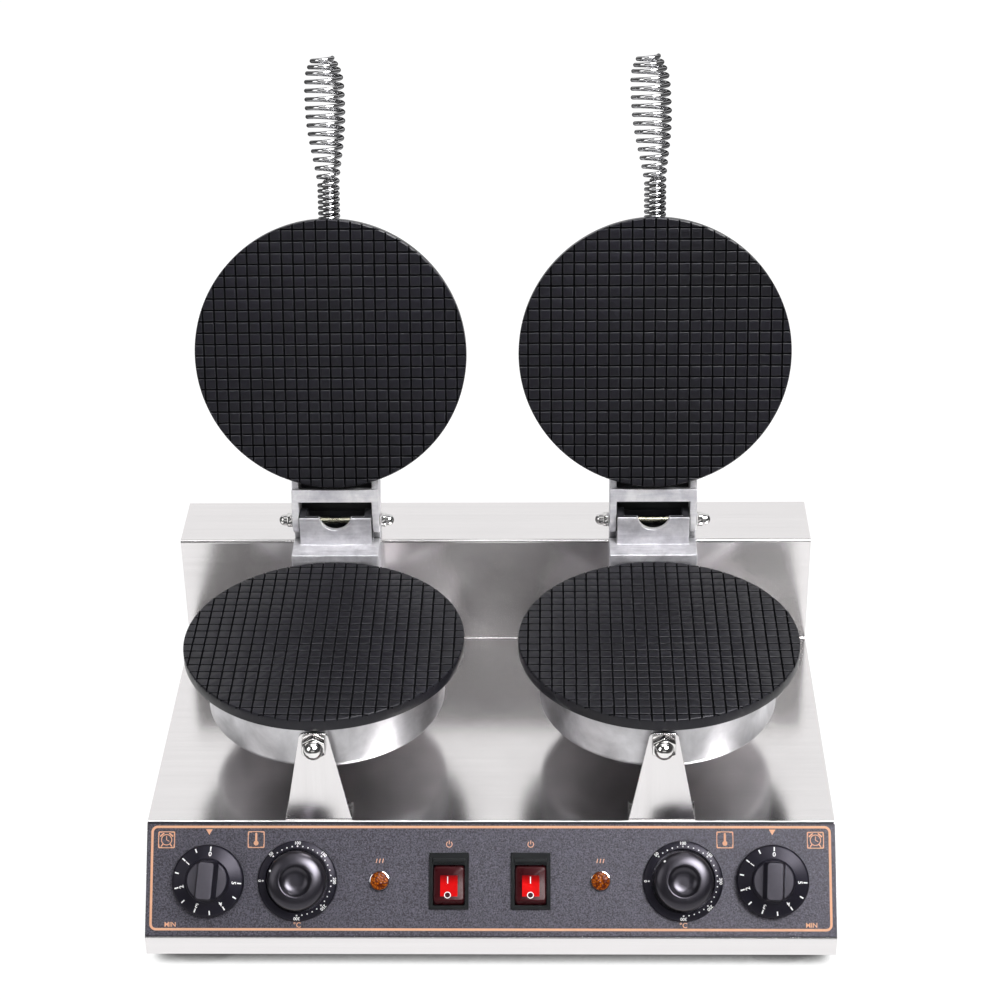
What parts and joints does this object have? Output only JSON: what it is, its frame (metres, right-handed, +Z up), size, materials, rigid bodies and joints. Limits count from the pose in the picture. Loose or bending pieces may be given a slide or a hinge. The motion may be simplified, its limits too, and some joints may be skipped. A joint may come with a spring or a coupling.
{
  "type": "double waffle cone maker",
  "caption": "Counter-top waffle cone maker with twin round grid plates on hinged lids, coil spring handles and a sloping control panel",
  "frame": {"origin": "centre of the open machine's box, on the surface that the feet stand on", "axes": "+Z up, the control panel faces -Y, +X to the right of someone who stands at the controls"},
  "size_m": [0.48, 0.3932, 0.5266],
  "materials": {
    "stainless_sheet": "brushed stainless sheet",
    "fascia_print": "dark grey fascia with a fine speckle",
    "foot_rubber": "matt rubber",
    "plated_fasteners": "bright plated steel",
    "coil_chrome": "bright chrome wire",
    "gland_plastic": "black polyamide",
    "terminal_plastic": "ivory moulding",
    "plate_coating": "cast aluminium with a dark non-stick coating",
    "drum_aluminium": "satin aluminium",
    "ring_sheath": "oxidised heater sheath",
    "hinge_cast": "tumbled aluminium casting",
    "pin_zinc": "yellow passivated pin",
    "knob_plastic": "black phenolic moulding",
    "works_plastic": "moulded housing",
    "lens_amber": "amber lens",
    "rocker_red": "translucent red rocker"
  },
  "bodies": {
    "base": {"body_shell": "stainless_sheet", "left_side_panel": "stainless_sheet", "right_side_panel": "stainless_sheet", "rear_panel": "stainless_sheet", "bottom_plate": "stainless_sheet", "control_fascia": "fascia_print", "rubber_feet": "foot_rubber", "foot_screws": "plated_fasteners", "case_screws": "plated_fasteners", "cable_gland": "gland_plastic", "terminal_block": "terminal_plastic", "left_front_bracket": "stainless_sheet", "right_front_bracket": "stainless_sheet", "bracket_screws": "plated_fasteners", "drum_studs": "plated_fasteners", "drum_acorn_nuts": "plated_fasteners", "left_lower_plate": "plate_coating", "right_lower_plate": "plate_coating", "left_lower_drum": "drum_aluminium", "right_lower_drum": "drum_aluminium", "left_lower_ring": "ring_sheath", "right_lower_ring": "ring_sheath", "lower_plate_screws": "plated_fasteners", "lead_sleeves": "gland_plastic", "left_lower_hinge": "hinge_cast", "right_lower_hinge": "hinge_cast", "hinge_bolts": "plated_fasteners", "left_hinge_pin": "pin_zinc", "right_hinge_pin": "pin_zinc", "acorn_nuts": "plated_fasteners", "left_temperature_dial": "knob_plastic", "right_temperature_dial": "knob_plastic", "left_thermostat": "works_plastic", "right_thermostat": "works_plastic", "left_timer": "works_plastic", "right_timer": "works_plastic", "lamp_bezels": "plated_fasteners", "lamp_lenses": "lens_amber", "left_switch_frame": "knob_plastic", "right_switch_frame": "knob_plastic"},
    "left_lid": {"left_upper_plate": "plate_coating", "left_upper_drum": "drum_aluminium", "left_upper_ring": "ring_sheath", "left_upper_hinge": "hinge_cast", "left_upper_screws": "plated_fasteners", "left_handle_stud": "plated_fasteners", "left_handle_coil": "coil_chrome"},
    "left_timer_turn": {"left_timer_knob": "knob_plastic"},
    "left_temperature_turn": {"left_temperature_knob": "knob_plastic"},
    "left_rocker_tip": {"left_rocker": "rocker_red"},
    "right_lid": {"right_upper_plate": "plate_coating", "right_upper_drum": "drum_aluminium", "right_upper_ring": "ring_sheath", "right_upper_hinge": "hinge_cast", "right_upper_screws": "plated_fasteners", "right_handle_stud": "plated_fasteners", "right_handle_coil": "coil_chrome"},
    "right_timer_turn": {"right_timer_knob": "knob_plastic"},
    "right_temperature_turn": {"right_temperature_knob": "knob_plastic"},
    "right_rocker_tip": {"right_rocker": "rocker_red"}
  },
  "joints": [
    {"name": "left_lid_hinge", "type": "hinge", "parent": "base", "child": "left_lid", "pos_m": [-0.11985, 0.08723, 0.1933], "axis": [1, 0, 0], "range_deg": [0, 106.67]},
    {"name": "left_timer_shaft", "type": "hinge", "parent": "base", "child": "left_timer_turn", "pos_m": [-0.196, -0.1701, 0.05588], "axis": [0, 0.7701, -0.638], "range_deg": [-4.8, 265.2]},
    {"name": "left_temperature_shaft", "type": "hinge", "parent": "base", "child": "left_temperature_turn", "pos_m": [-0.134, -0.1701, 0.05588], "axis": [0, 0.7701, -0.638], "range_deg": [-21.2, 248.8]},
    {"name": "left_rocker_pivot", "type": "hinge", "parent": "base", "child": "left_rocker_tip", "pos_m": [-0.0284, -0.17041, 0.05237], "axis": [1, 0, 0], "range_deg": [0, 14]},
    {"name": "right_lid_hinge", "type": "hinge", "parent": "base", "child": "right_lid", "pos_m": [0.11985, 0.08723, 0.1933], "axis": [1, 0, 0], "range_deg": [0, 106.67]},
    {"name": "right_timer_shaft", "type": "hinge", "parent": "base", "child": "right_timer_turn", "pos_m": [0.196, -0.1701, 0.05588], "axis": [0, 0.7701, -0.638], "range_deg": [-2.5, 267.5]},
    {"name": "right_temperature_shaft", "type": "hinge", "parent": "base", "child": "right_temperature_turn", "pos_m": [0.134, -0.1701, 0.05588], "axis": [0, 0.7701, -0.638], "range_deg": [-46, 224]},
    {"name": "right_rocker_pivot", "type": "hinge", "parent": "base", "child": "right_rocker_tip", "pos_m": [0.0284, -0.17041, 0.05237], "axis": [1, 0, 0], "range_deg": [0, 14]}
  ]
}
